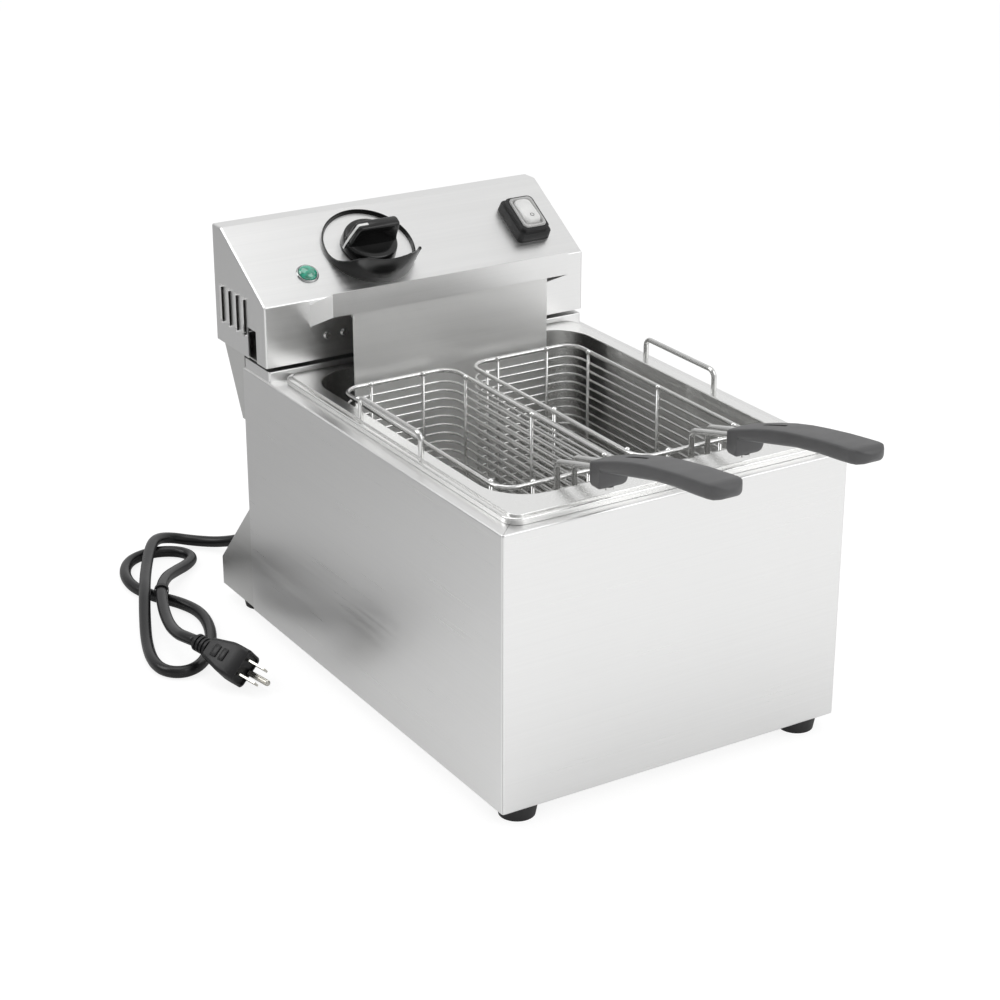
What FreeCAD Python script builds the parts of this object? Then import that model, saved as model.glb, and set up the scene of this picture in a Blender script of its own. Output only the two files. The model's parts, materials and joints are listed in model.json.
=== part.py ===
import FreeCAD, Part
import math
import os

from FreeCAD import Matrix, Placement, Rotation
from FreeCAD import Vector as V

# A countertop electric deep fryer with two baskets in one oil tank. Millimetres, +Z up, +X to the
# right, +Y to the back. The model is drawn with y = 0 at the casing's front face and z = 0 on the
# worktop. export() then moves it so that its origin is the centre of the object's footprint.

# ---- driving dimensions --------------------------------------------------------------------------
SHEET = 1.0  # every folded panel
FOOT_H = 11.0
CASE_W = 285.0
CASE_D = 384.0
CASE_H = 207.0
CASE_FLANGE = 19.0  # the fold along the top, which the tank's rim rests on
FLOOR_FLANGE = 15.0
CASE_TOP = FOOT_H + CASE_H
HALF = CASE_W / 2

RIM_HALF = 131.0  # tank rim
RIM_FRONT = 8.0
RIM_BACK = 339.0
RIM_TOP = CASE_TOP + 6.0
RIM_R = 12.0
RIM_STEP = 4.0  # in from the edge, where the rim drops
RIM_STEP_H = 1.4
TANK_HALF = 117.5  # tank opening
TANK_FRONT = 36.0
TANK_BACK = 325.0
TANK_R = 35.0
TANK_DEPTH = 150.0
TANK_FLOOR = RIM_TOP - TANK_DEPTH
TANK_SLACK = 0.2  # under the rim's edge
TANK_LIP_R = 0.9  # where the walls turn over into the rim
DECK_FRONT = TANK_BACK + 4.0
DECK_TOP = CASE_TOP + 8.0

HEAD_FRONT = 341.0  # control head, side profile
HEAD_SLOPE_TOP = 413.0
HEAD_BACK = 427.0
HEAD_BOTTOM = CASE_TOP + 11.0
HEAD_SLOPE_Z0 = 277.0
HEAD_SLOPE_Z1 = 322.0
SLOPE_DEG = math.degrees(math.atan2(HEAD_SLOPE_Z1 - HEAD_SLOPE_Z0, HEAD_SLOPE_TOP - HEAD_FRONT))

BRACKET_HALF = 140.0  # wall brackets behind the casing
BRACKET_DEPTH = 60.0
BRACKET_TOP = FOOT_H + 90.0
BRACKET_EDGE = 24.0
HANGER_BOTTOM = 173.0
HANGER_TOP_Y = CASE_D + 36.0
HANGER_BOTTOM_Y = CASE_D + 8.0

RAIL_Y = 303.0  # the rail that a lifted basket hangs on
RAIL_HALF = 104.0
RAIL_LOW = 274.0
RAIL_HIGH = 292.0
RAIL_WALL = 1.2
GUARD_Y = 305.5
GUARD_HALF = 86.0
GUARD_TOP = 277.0
GUARD_TAB_TOP = 269.0

LOUVER_Y = 374.0  # the front one's opening
LOUVER_PITCH = 13.0
LOUVER_COUNT = 4
LOUVER_LOW = 246.0
LOUVER_HIGH = 276.0
LOUVER_OUT = 2.2
LOUVER_WIDTH = 7.0
NOTCH_Y = 357.0  # the cut in each end, in front of the hanger's cheek
NOTCH_WIDTH = 14.0
NOTCH_TOP = 254.0

FOOT_R = 15.0
FOOT_BOSS_R = 6.0
FOOT_X = 121.0
FRONT_FOOT_Y = 16.0
BACK_FOOT_Y = CASE_D + 29.0

BASKET_X = 56.0  # each basket's middle
BASKET_HALF = 49.0
BASKET_FRONT = 62.0
BASKET_BACK = 296.0
BASKET_R = 15.0
BASKET_BOTTOM = 104.0
BASKET_RIM_Z = 219.0
WIRE = 2.0
RIM_WIRE = 3.5
BRACKET_WIRE = 4.4
BRACKET_WIRE_X = 7.0
BRACKET_WIRE_Z = 233.0  # where the upright part ends
BRACKET_Y = BASKET_FRONT - BRACKET_WIRE / 2 - 0.8
BRACKET_END = 1.5  # inside the handle
BRACKET_END_Z = 247.6
HANDLE_SCREW_Y = 7.0
GRID_PITCH = 7.0
HANDLE_TIP = -127.0
HANDLE_ROOT = 13.0
HANDLE_LOW = 232.0  # under the root block
HANDLE_BLOCK = 12.0  # the block's length

KNOB_X = -34.0  # places on the sloping panel: across, and up the slope
KNOB_S = 42.0
LAMP_X = -94.5
LAMP_S = 25.5
SWITCH_X = 107.0
SWITCH_S = 39.5
SWITCH_W = 30.0
SWITCH_L = 41.0
SWITCH_H = 12.0
WINDOW_W = 20.5
WINDOW_L = 31.0
ROCKER_TILT = 8.0
ROCKER_AXIS_Z = 6.0
BEZEL_R = 38.0
BEZEL_INNER_R = 34.5
GUARD_H = 26.0
KNOB_R = 22.3
SHAFT_R = 3.0
RUNNING = 0.05  # radial clearance of a running fit

ELEMENT_R = 4.0
ELEMENT_Z = 92.0
ELEMENT_WALL_Z = 241.0
ELEMENT_DROP_Y = 315.0
CORD_D = 9.5
GLAND_X = -75.0
GLAND_Y = 407.0
GLAND_TIP_Z = 203.3
NECK_L = 16.0  # the plug's ribbed neck

# The mains lead, from under the head to the plug: a hanging drop behind the casing, then loose
# loops on the worktop.
CORD_ROUTE = [
    (-75, 407, 203),
    (-76, 409, 163),
    (-77, 423, 118),
    (-79, 449, 76),
    (-83, 476, 41),
    (-91, 502, 18),
    (-104, 527, 8),
    (-121, 547, 6),
    (-139, 556, 10),
    (-156, 548, 15),
    (-171, 525, 16),
    (-190, 489, 15),
    (-207, 452, 16),
    (-222, 418, 10),
    (-236, 383, 5),
    (-245, 350, 4.8),
    (-243, 330, 4.8),
    (-230, 321, 4.8),
    (-213, 328, 4.8),
    (-196, 350, 4.8),
    (-181, 382, 4.8),
    (-175, 414, 4.8),
    (-182, 440, 4.8),
    (-195, 461, 4.8),
    (-203, 487, 4.8),
    (-199, 515, 4.8),
    (-186, 537, 4.8),
    (-168, 545, 4.8),
    (-150, 542, 4.8),
    (-137, 531, 4.8),
    (-135, 516, 4.8),
    (-146, 504, 5.5),
    (-163, 490, 9),
    (-180, 472, 14),
    (-195, 447, 16.5),
    (-207, 415, 15),
    (-215, 385, 15),
    (-219, 359, 19),
    (-219, 344, 22.5),
    (-216, 331, 23.5),
]
TIE_AT = 34  # the route's point that the cord tie goes round
PLUG_TIP = (-198, 282, 15.6)  # where the plug's axis leaves its face

BACK = CASE_D + BRACKET_DEPTH
TO_ORIGIN = V(0, -(BACK + HANDLE_TIP) / 2, 0)


# ---- helpers -------------------------------------------------------------------------------------
def export(name, shape):
    """Write one node, moved to the row's origin."""
    os.makedirs("parts", exist_ok=True)
    moved = shape.copy()
    moved.translate(TO_ORIGIN)
    if not moved.isValid():
        print("NOT VALID", name)
    moved.exportStep(f"parts/{name}.step")


def block(x0, x1, y0, y1, z0, z1):
    return Part.makeBox(x1 - x0, y1 - y0, z1 - z0, V(x0, y0, z0))


def rod(centre, axis, radius, length):
    return Part.makeCylinder(radius, length, V(*centre), V(*axis))


def rounded(x0, x1, y0, y1, r, z0, z1):
    """An upright block with round vertical edges."""
    shape = block(x0, x1, y0, y1, z0, z1)
    upright = [e for e in shape.Edges if abs(e.tangentAt(e.FirstParameter).z) > 0.9]
    return shape.makeFillet(r, upright)


def level_edges(shape, z):
    """The edges that lie flat at one height."""
    return [e for e in shape.Edges if abs(e.BoundBox.ZMin - z) + abs(e.BoundBox.ZMax - z) < 0.01]


def side_prism(outline, x0, x1):
    """A (y, z) outline, extruded along X."""
    wire = Part.makePolygon([V(x0, y, z) for y, z in outline + outline[:1]])
    return Part.Face(wire).extrude(V(x1 - x0, 0, 0))


def mirrored(shape):
    flip = Matrix()
    flip.A11 = -1
    return shape.transformGeometry(flip)


def both_sides(shape):
    return Part.makeCompound([shape, mirrored(shape)])


def joined(shapes):
    return shapes[0].fuse(shapes[1:]).removeSplitter()


def on_slope(shape):
    """From the panel's own frame, x across, y up the slope and z out of it, to the fryer's."""
    shape = shape.copy()
    panel = Placement(V(0, HEAD_FRONT, HEAD_SLOPE_Z0), Rotation(V(1, 0, 0), SLOPE_DEG))
    shape.Placement = panel.multiply(shape.Placement)
    return shape


def round_path(points, radius=None):
    """Runs joined by arcs, as large as the runs allow or all of one radius: the wire and radii."""
    points = [V(*p) for p in points]
    edges = []
    radii = []
    start = points[0]
    for before, corner, after in zip(points, points[1:], points[2:]):
        back = before - corner
        ahead = after - corner
        turn = math.pi - back.getAngle(ahead)
        if radius is None:
            reach = 0.45 * min(back.Length, ahead.Length)
        else:
            reach = radius * math.tan(turn / 2)
        radii.append(reach / math.tan(turn / 2))
        back.normalize()
        ahead.normalize()
        first = corner + back * reach
        last = corner + ahead * reach
        to_centre = back + ahead
        to_centre.normalize()
        middle = corner + to_centre * (math.hypot(reach, radii[-1]) - radii[-1])
        edges.append(Part.LineSegment(start, first).toShape())
        edges.append(Part.Arc(first, middle, last).toShape())
        start = last
    edges.append(Part.LineSegment(start, points[-1]).toShape())
    return Part.Wire(edges), radii


def tube(points, diameter, radius=None):
    """A round rod along a path of runs and arcs."""
    path, _ = round_path(points, radius)
    start = V(*points[0])
    ring = Part.Wire(Part.makeCircle(diameter / 2, start, V(*points[1]) - start))
    return Part.Solid(path.makePipeShell([ring], True, True))


def grid(width, height, bars_u, bars_v, thick):
    """A welded grid of square wire as one solid, in x and y. bars_u, bars_v: the wires' middles."""

    def frame(x0, x1, y0, y1):
        return Part.makePolygon([V(x0, y0), V(x1, y0), V(x1, y1), V(x0, y1), V(x0, y0)])

    wires = [frame(0, width, 0, height)]
    half = WIRE / 2
    for u0, u1 in zip(bars_u, bars_u[1:]):
        for v0, v1 in zip(bars_v, bars_v[1:]):
            wires.append(frame(u0 + half, u1 - half, v0 + half, v1 - half))
    face = Part.makeFace(Part.makeCompound(wires), "Part::FaceMakerBullseye")
    return face.extrude(V(0, 0, thick))


def spaced(low, high, step):
    """Evenly spaced places from low to high, about step apart."""
    count = max(1, round((high - low) / step))
    return [low + (high - low) * i / count for i in range(count + 1)]


# ---- casing --------------------------------------------------------------------------------------
def casing_panels():
    """The front panel, and the wrap round the sides and back, with a mitre at the front corners."""
    shell = rounded(-HALF, HALF, 0, CASE_D, 2, FOOT_H, CASE_TOP)
    shell = shell.makeFillet(1.5, level_edges(shell, FOOT_H) + level_edges(shell, CASE_TOP))
    end = HALF - SHEET
    back = CASE_D - SHEET
    inside = rounded(-end, end, SHEET, back, 1, FOOT_H + SHEET, CASE_TOP - SHEET)
    lip = HALF - CASE_FLANGE
    top = rounded(-lip, lip, CASE_FLANGE, DECK_FRONT, 3, CASE_TOP - 3, CASE_TOP + 3)
    lip = HALF - FLOOR_FLANGE
    back = CASE_D - FLOOR_FLANGE
    bottom = rounded(-lip, lip, FLOOR_FLANGE, back, 3, FOOT_H - 3, FOOT_H + 3)
    cuts = [inside, top, bottom]
    for x in (-FOOT_X, FOOT_X):
        cuts.append(rod((x, FRONT_FOOT_Y, 0), (0, 0, 1), FOOT_BOSS_R + 0.2, FOOT_H + 1.5))
    shell = shell.cut(cuts)
    reach = CASE_FLANGE + 1
    gap = 0.15  # half of the seam
    wedge = [V(-HALF, 0), V(HALF, 0), V(HALF - reach, reach), V(-HALF + reach, reach)]
    wedge.append(wedge[0])
    front = Part.Face(Part.makePolygon(wedge)).extrude(V(0, 0, 400))
    front_half = front.copy()
    front_half.translate(V(0, -gap, 0))
    back_half = front.copy()
    back_half.translate(V(0, gap, 0))
    outside = block(-HALF - 1, HALF + 1, -5, gap, -1, 400)
    return shell.common(front_half), shell.cut(joined([back_half, outside]))


def base_plate():
    """The floor of the casing, with two rows of cooling slots and the front feet's holes."""
    plate = block(-139, 139, 3, CASE_D - 3, FOOT_H + SHEET, FOOT_H + 2 * SHEET)
    cuts = []
    for x in spaced(-90, 90, 20):
        for y in (110, 250):
            cuts.append(rounded(x - 3, x + 3, y, y + 60, 2.9, 0, 30))
    for x in (-FOOT_X, FOOT_X):
        cuts.append(rod((x, FRONT_FOOT_Y, 0), (0, 0, 1), 2.7, 40))
    return plate.cut(cuts)


def rear_deck():
    """The folded tray over the back flange, which the head stands on, open below."""
    end = HALF - 1.5
    front, back = RIM_BACK + 1.2, CASE_D - 1.5
    deck = rounded(-end, end, front, back, 2, CASE_TOP, DECK_TOP)
    deck = deck.makeFillet(1, level_edges(deck, DECK_TOP))
    end -= SHEET
    room = rounded(-end, end, front + SHEET, back - SHEET, 1, CASE_TOP - 1, DECK_TOP - SHEET)
    return deck.cut(room)


def head_rests():
    """Two folded hats on the deck that carry the head."""
    low = DECK_TOP
    high = HEAD_BOTTOM - 0.2
    outline = [(352, low), (352, high), (376, high), (376, low), (375, low)]
    outline += [(375, high - SHEET), (353, high - SHEET), (353, low)]
    return both_sides(side_prism(outline, 60, 100))


def rear_bracket():
    """The low wall spacer: a web on the casing's back, a foot plate and two tapered cheeks."""
    web = block(-BRACKET_HALF, BRACKET_HALF, CASE_D, CASE_D + SHEET, FOOT_H, BRACKET_TOP)
    plate = block(-BRACKET_HALF, BRACKET_HALF, CASE_D, BACK, FOOT_H, FOOT_H + SHEET)
    outline = [(CASE_D, FOOT_H), (CASE_D, BRACKET_TOP), (BACK, FOOT_H + BRACKET_EDGE), (BACK, FOOT_H)]
    cheek = side_prism(outline, BRACKET_HALF - SHEET, BRACKET_HALF)
    bracket = joined([web, plate, cheek, mirrored(cheek)])
    return bracket.cut([rod((x, BACK_FOOT_Y, 0), (0, 0, 1), 2.7, 40) for x in (-FOOT_X, FOOT_X)])


def foot_places():
    for y in (FRONT_FOOT_Y, BACK_FOOT_Y):
        for x in (-FOOT_X, FOOT_X):
            yield x, y


def feet():
    shapes = []
    for x, y in foot_places():
        foot = Part.makeCone(13, FOOT_R, FOOT_H, V(x, y, 0))
        if y == FRONT_FOOT_Y:
            foot = foot.fuse(rod((x, y, FOOT_H), (0, 0, 1), FOOT_BOSS_R, SHEET))
        foot = foot.cut([rod((x, y, 3), (0, 0, 1), 2.5, 20), rod((x, y, -1), (0, 0, 1), 6, 2.5)])
        shapes.append(foot)
    return Part.makeCompound(shapes)


def foot_screws():
    shapes = []
    for x, y in foot_places():
        seat = FOOT_H + (2 * SHEET if y == FRONT_FOOT_Y else SHEET)
        shank = rod((x, y, 4), (0, 0, 1), 2.5, seat - 4)
        shapes.append(shank.fuse(rod((x, y, seat), (0, 0, 1), 4.5, 3)))
    return Part.makeCompound(shapes)


# ---- tank ----------------------------------------------------------------------------------------
def oil_tank():
    """A deep-drawn pan with a stepped rim, whose turned-down edge rests on the casing's flange."""
    edge = CASE_TOP + TANK_SLACK

    def plate(inset, low, high):
        x = RIM_HALF - inset
        return rounded(-x, x, RIM_FRONT + inset, RIM_BACK - inset, RIM_R - inset, low, high)

    def softened(shape, z, radius):
        return shape.makeFillet(radius, level_edges(shape, z))

    step = RIM_TOP - RIM_STEP_H
    top = softened(plate(RIM_STEP, edge, RIM_TOP), RIM_TOP, 0.6)
    rim = softened(plate(0, edge, step), step, 1.2).fuse(top)
    under = plate(SHEET, edge - 2, step - SHEET)
    under = under.fuse(plate(RIM_STEP + SHEET, edge - 2, RIM_TOP - SHEET))

    def pan(grow, floor, top):
        x = TANK_HALF + grow
        shape = rounded(-x, x, TANK_FRONT - grow, TANK_BACK + grow, TANK_R + grow, floor, top)
        low = [e for e in shape.Edges if e.BoundBox.ZMax < floor + 0.01]
        return shape.makeFillet(14 + grow, low)

    tank = rim.cut(under).fuse(pan(SHEET, TANK_FLOOR, RIM_TOP - SHEET))
    tank = tank.cut(pan(0, TANK_FLOOR + SHEET, RIM_TOP + 5)).removeSplitter()
    mouth = []
    for e in level_edges(tank, RIM_TOP):
        box = e.BoundBox
        if max(-box.XMin, box.XMax) < TANK_HALF + 1 and box.YMin > TANK_FRONT - 1:
            mouth.append(e)
    return tank.makeFillet(TANK_LIP_R, mouth)


def tank_handle(side):
    """An upright loop of wire, welded to the rim."""
    x = side * 125
    top = RIM_TOP + 16
    return tube([(x, 136, RIM_TOP), (x, 136, top), (x, 224, top), (x, 224, RIM_TOP)], 4, radius=6)


# ---- head ----------------------------------------------------------------------------------------
def head_cover():
    """Front wall, sloping panel, top strip and both ends as one cover, open below and behind."""
    outline = [
        (HEAD_FRONT, HEAD_BOTTOM),
        (HEAD_FRONT, HEAD_SLOPE_Z0),
        (HEAD_SLOPE_TOP, HEAD_SLOPE_Z1),
        (HEAD_BACK, HEAD_SLOPE_Z1),
        (HEAD_BACK, HEAD_BOTTOM),
    ]
    solid = side_prism(outline, -HALF, HALF)
    folds = []
    for e in solid.Edges:
        box = e.BoundBox
        if box.ZMax > HEAD_BOTTOM + 1 and box.YMin < HEAD_BACK - 1:
            folds.append(e)
    solid = solid.makeFillet(1.5, folds)
    slope = math.radians(SLOPE_DEG)
    low = HEAD_SLOPE_Z0 - SHEET * (1 / math.cos(slope) - math.tan(slope))
    high = HEAD_SLOPE_TOP + SHEET * math.tan(slope / 2)
    inner = [
        (HEAD_FRONT + SHEET, HEAD_BOTTOM - 5),
        (HEAD_FRONT + SHEET, low),
        (high, HEAD_SLOPE_Z1 - SHEET),
        (HEAD_BACK + 5, HEAD_SLOPE_Z1 - SHEET),
        (HEAD_BACK + 5, HEAD_BOTTOM - 5),
    ]
    inside = side_prism(inner, -HALF + SHEET, HALF - SHEET)
    cuts = [inside]
    cuts.append(on_slope(rod((KNOB_X, KNOB_S, -10), (0, 0, 1), 4.5, 20)))
    cuts.append(on_slope(rod((LAMP_X, LAMP_S, -10), (0, 0, 1), 5.2, 20)))
    x0, x1 = SWITCH_X - 11, SWITCH_X + 11
    cuts.append(on_slope(block(x0, x1, SWITCH_S - 17, SWITCH_S + 17, -10, 10)))
    z0, z1 = ELEMENT_WALL_Z - 8, ELEMENT_WALL_Z + 8
    cuts.append(block(-40, 40, HEAD_FRONT - 5, HEAD_FRONT + 5, z0, z1))
    for y in louver_places():
        for x0 in (-HALF - 1, HALF - 2):
            cuts.append(block(x0, x0 + 3, y, y + LOUVER_WIDTH, LOUVER_LOW, LOUVER_HIGH))
    for x0 in (-HALF - 1, HALF - 2):
        cuts.append(block(x0, x0 + 3, NOTCH_Y, NOTCH_Y + NOTCH_WIDTH, HEAD_BOTTOM - 1, NOTCH_TOP))
    return solid.cut(cuts)


def louver_places():
    return [LOUVER_Y + LOUVER_PITCH * i for i in range(LOUVER_COUNT)]


def side_louvers():
    """Pressed hoods over the end slots, each open towards the front."""

    def wedge(y, inset, low, high):
        end = y + LOUVER_WIDTH - inset
        corners = [(HALF - SHEET, y), (HALF + LOUVER_OUT - inset, y), (HALF - SHEET, end)]
        face = Part.Face(Part.makePolygon([V(a, b, low) for a, b in corners + corners[:1]]))
        return face.extrude(V(0, 0, high - low))

    hoods = []
    for y in louver_places():
        room = wedge(y, 0.6, LOUVER_LOW + 1, LOUVER_HIGH - 1)
        hood = wedge(y, 0, LOUVER_LOW, LOUVER_HIGH).cut(room)
        hoods += [hood, mirrored(hood)]
    return Part.makeCompound(hoods)


def head_floor():
    """The head's bottom sheet, with the cord's hole in the part that overhangs the casing."""
    end = HALF - SHEET - 0.1
    y0, y1 = HEAD_FRONT + SHEET + 0.1, HEAD_BACK - SHEET - 0.1
    plate = block(-end, end, y0, y1, HEAD_BOTTOM, HEAD_BOTTOM + SHEET)
    return plate.cut(rod((GLAND_X, GLAND_Y, 0), (0, 0, 1), 7, 400))


def head_back():
    """The removable back, with two banks of slots, the reset hole and its screws' holes."""
    end = HALF - SHEET - 0.1
    low = HEAD_BOTTOM + SHEET + 0.1
    plate = block(-end, end, HEAD_BACK - SHEET, HEAD_BACK, low, HEAD_SLOPE_Z1 - SHEET - 0.1)
    cuts = [rod((75, 400, 265), (0, 1, 0), 4, 60)]
    for x in spaced(-60, 20, 10):
        cuts.append(block(x - 1.5, x + 1.5, 400, 440, 250, 300))
    for x, z in back_screw_places():
        cuts.append(rod((x, 400, z), (0, 1, 0), 2.2, 60))
    return plate.cut(cuts)


def back_screw_places():
    for x in (-132, 0, 132):
        for z in (HEAD_BOTTOM + 9, HEAD_SLOPE_Z1 - 9):
            yield x, z


def back_screws():
    shapes = []
    for x, z in back_screw_places():
        shank = rod((x, HEAD_BACK - 8, z), (0, 1, 0), 2, 8)
        shapes.append(shank.fuse(Part.makeCone(4, 2.8, 2.4, V(x, HEAD_BACK, z), V(0, 1, 0))))
    return Part.makeCompound(shapes)


def head_hanger():
    """The bracket under the head's overhang, which slides down behind the casing."""
    web_y = CASE_D + 0.4
    web = block(-BRACKET_HALF, BRACKET_HALF, web_y, web_y + SHEET, HANGER_BOTTOM, HEAD_BOTTOM)
    outline = [
        (web_y, HANGER_BOTTOM),
        (web_y, HEAD_BOTTOM),
        (HANGER_TOP_Y, HEAD_BOTTOM),
        (HANGER_BOTTOM_Y, HANGER_BOTTOM),
    ]
    cheek = side_prism(outline, BRACKET_HALF - SHEET, BRACKET_HALF)
    return joined([web, cheek, mirrored(cheek)])


def basket_rail():
    """The rail along the head's front, which a lifted basket hangs on to drain."""
    t = RAIL_WALL
    wall = block(-RAIL_HALF, RAIL_HALF, HEAD_FRONT - t, HEAD_FRONT, 256, 273)
    shelf = [(HEAD_FRONT, 272), (HEAD_FRONT, 272 + t), (RAIL_Y, RAIL_HIGH), (RAIL_Y, RAIL_HIGH - t)]
    front = block(-RAIL_HALF, RAIL_HALF, RAIL_Y, RAIL_Y + t, RAIL_LOW, RAIL_HIGH)
    outline = [(HEAD_FRONT, 256), (HEAD_FRONT, 273), (RAIL_Y, RAIL_HIGH), (RAIL_Y, RAIL_LOW)]
    cheek = side_prism(outline, RAIL_HALF - t, RAIL_HALF)
    return joined([wall, side_prism(shelf, -RAIL_HALF, RAIL_HALF), front, cheek, mirrored(cheek)])


def guard_plate():
    """The plate in front of the element's legs, held by two tabs on the head's front wall."""
    top = GUARD_TAB_TOP
    back = HEAD_FRONT - RAIL_WALL
    low = BASKET_BOTTOM + 5
    plate = block(-GUARD_HALF, GUARD_HALF, GUARD_Y, GUARD_Y + SHEET, low, GUARD_TOP)
    arm = block(55, 69, GUARD_Y, back, top - SHEET, top)
    tab = block(55, 69, back - SHEET, back, 258, top)
    return joined([plate, arm, tab, mirrored(arm), mirrored(tab)])


def wall_screws():
    """Small screw heads on the head's front wall, under the rail's ends."""
    shapes = []
    for x in (75.5, 90):
        shapes.append(Part.makeCone(2.2, 3.2, 1.6, V(x, HEAD_FRONT - 1.6, 247), V(0, 1, 0)))
    return both_sides(Part.makeCompound(shapes))


# ---- element and sensors -------------------------------------------------------------------------
def heating_element():
    """One sheathed rod: in through the head's wall, down the tank's back and under the baskets."""
    z = ELEMENT_Z
    half = [
        (0, 46, z),
        (95, 46, z),
        (95, 284, z),
        (60, 284, z),
        (60, 84, z),
        (25, 84, z),
        (25, ELEMENT_DROP_Y, z),
        (25, ELEMENT_DROP_Y, ELEMENT_WALL_Z),
        (25, 362, ELEMENT_WALL_Z),
    ]
    right = tube(half, 2 * ELEMENT_R, radius=15)
    return right.fuse(mirrored(right))


def element_flange():
    """The brass plate that clamps both legs to the wall."""
    y0 = HEAD_FRONT - 3
    plate = block(-38, 38, y0, HEAD_FRONT, ELEMENT_WALL_Z - 9, ELEMENT_WALL_Z + 9)
    holes = []
    for x, radius in ((-25, ELEMENT_R + RUNNING), (25, ELEMENT_R + RUNNING), (-6, 1.6), (6, 1.6)):
        holes.append(rod((x, y0 - 5, ELEMENT_WALL_Z), (0, 1, 0), radius, 20))
    return plate.cut(holes)


def sensor(x):
    """A bulb between the baskets on its fine tube, which runs up the tank's back to the head."""
    z = 97
    bulb = rod((x, 150, z), (0, 1, 0), 3, 110)
    top = ELEMENT_WALL_Z
    thin = tube([(x, 260, z), (x, 309, z), (x, 309, top), (x, 360, top)], 3, radius=10)
    return bulb.fuse(thin)


def sensor_clips():
    """Two saddles across the inner runs of the element, which hold both bulbs."""
    z = ELEMENT_Z + ELEMENT_R
    shapes = []
    for y in (165, 240):
        strap = block(-29, 29, y - 3, y + 3, z, z + 1)
        holes = [rod((x, y - 10, 97), (0, 1, 0), 3 + RUNNING, 20) for x in (-6, 6)]
        shapes += strap.cut(holes).Solids
    return Part.makeCompound(shapes)


# ---- controls ------------------------------------------------------------------------------------
def knob_bezel():
    """A ring round the knob that rises into a guard along its lower half."""

    def ring(r_in, r_out, low, high, start=0, sweep=360):
        whole = Part.makeCylinder(r_out, high - low, V(0, 0, low), V(0, 0, 1), sweep)
        hole = Part.makeCylinder(r_in, high - low + 2, V(0, 0, low - 1))
        shape = whole.cut(hole)
        shape.rotate(V(0, 0, 0), V(0, 0, 1), start)
        return shape

    inner = BEZEL_INNER_R
    guards = [ring(inner, BEZEL_R, 3, GUARD_H, 222, 88), ring(inner, BEZEL_R, 3, 14, 205, 118)]
    bezel = ring(inner, BEZEL_R, 0, 3.5).fuse(guards)
    bezel.translate(V(KNOB_X, KNOB_S, 0))
    return on_slope(bezel.removeSplitter())


def knob():
    """A round base with a raised grip bar, bored for the shaft."""
    base = Part.makeCone(KNOB_R, KNOB_R - 2, 11, V(0, 0, 0.6))
    grip = rounded(-20, 20, -6, 6, 5.5, 11, 27)
    shape = base.fuse(grip).cut(rod((0, 0, -1), (0, 0, 1), SHAFT_R, 11))
    shape.translate(V(KNOB_X, KNOB_S, 0))
    return on_slope(shape)


def thermostat_shaft():
    return on_slope(rod((KNOB_X, KNOB_S, -20), (0, 0, 1), SHAFT_R, 30))


def thermostat_body():
    body = block(KNOB_X - 22, KNOB_X + 22, KNOB_S - 20, KNOB_S + 18, -27, -1.1)
    return on_slope(body.cut(rod((KNOB_X, KNOB_S, -21), (0, 0, 1), SHAFT_R + RUNNING, 30)))


def lamp_ring():
    ring = Part.makeCone(8.5, 7.6, 3, V(LAMP_X, LAMP_S, 0))
    return on_slope(ring.cut(rod((LAMP_X, LAMP_S, -1), (0, 0, 1), 6.2, 6)))


def lamp_lens():
    barrel = rod((LAMP_X, LAMP_S, 0.5), (0, 0, 1), 6, 3)
    dome = Part.makeSphere(6.6, V(LAMP_X, LAMP_S, 0.75))
    dome = dome.common(rod((LAMP_X, LAMP_S, 3.4), (0, 0, 1), 6, 10))
    return on_slope(joined([barrel, dome]))


def lamp_body():
    return on_slope(rod((LAMP_X, LAMP_S, -26), (0, 0, 1), 5, 26.5))


def centred_round(width, length, r, z0, z1):
    """A block round in plan, centred on the switch."""
    x0, x1 = SWITCH_X - width / 2, SWITCH_X + width / 2
    y0, y1 = SWITCH_S - length / 2, SWITCH_S + length / 2
    return rounded(x0, x1, y0, y1, r, z0, z1)


def switch_boot():
    boot = centred_round(SWITCH_W, SWITCH_L, 5, 0, SWITCH_H)
    top = level_edges(boot, SWITCH_H)
    boot = boot.makeFillet(2.5, top)
    return on_slope(boot.cut(centred_round(WINDOW_W, WINDOW_L, 2.5, -1, 20)))


def switch_body():
    return on_slope(centred_round(WINDOW_W + 1.1, WINDOW_L + 1.1, 0.5, -28, 0))


def rocker():
    """The switch's rocker, lying at its off end."""
    low, high = ROCKER_AXIS_Z + 0.2, ROCKER_AXIS_Z + 6
    key = centred_round(WINDOW_W - 1, WINDOW_L - 2.5, 2, low, high)
    hollow = rod((SWITCH_X - 20, SWITCH_S, ROCKER_AXIS_Z + 57), (1, 0, 0), 53.2, 40)
    key = key.cut(hollow)
    key.rotate(V(SWITCH_X, SWITCH_S, ROCKER_AXIS_Z), V(1, 0, 0), -ROCKER_TILT)
    return on_slope(key)


# ---- inside the head -----------------------------------------------------------------------------
def limit_thermostat():
    body = block(60, 90, 400, HEAD_BACK - SHEET, 250, 280)
    stem = rod((75, HEAD_BACK - SHEET, 265), (0, 1, 0), 3.9, SHEET)
    return body.fuse(stem)


def reset_cap():
    return Part.makeCone(7, 6, 6, V(75, HEAD_BACK, 265), V(0, 1, 0))


def terminal_block():
    base = block(-64, -22, 392, 412, HEAD_BOTTOM + SHEET, HEAD_BOTTOM + 17)
    low, high = HEAD_BOTTOM + 11, HEAD_BOTTOM + 30
    return base.cut([block(x - 4, x + 4, 396, 408, low, high) for x in (-57, -43, -29)])


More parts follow.
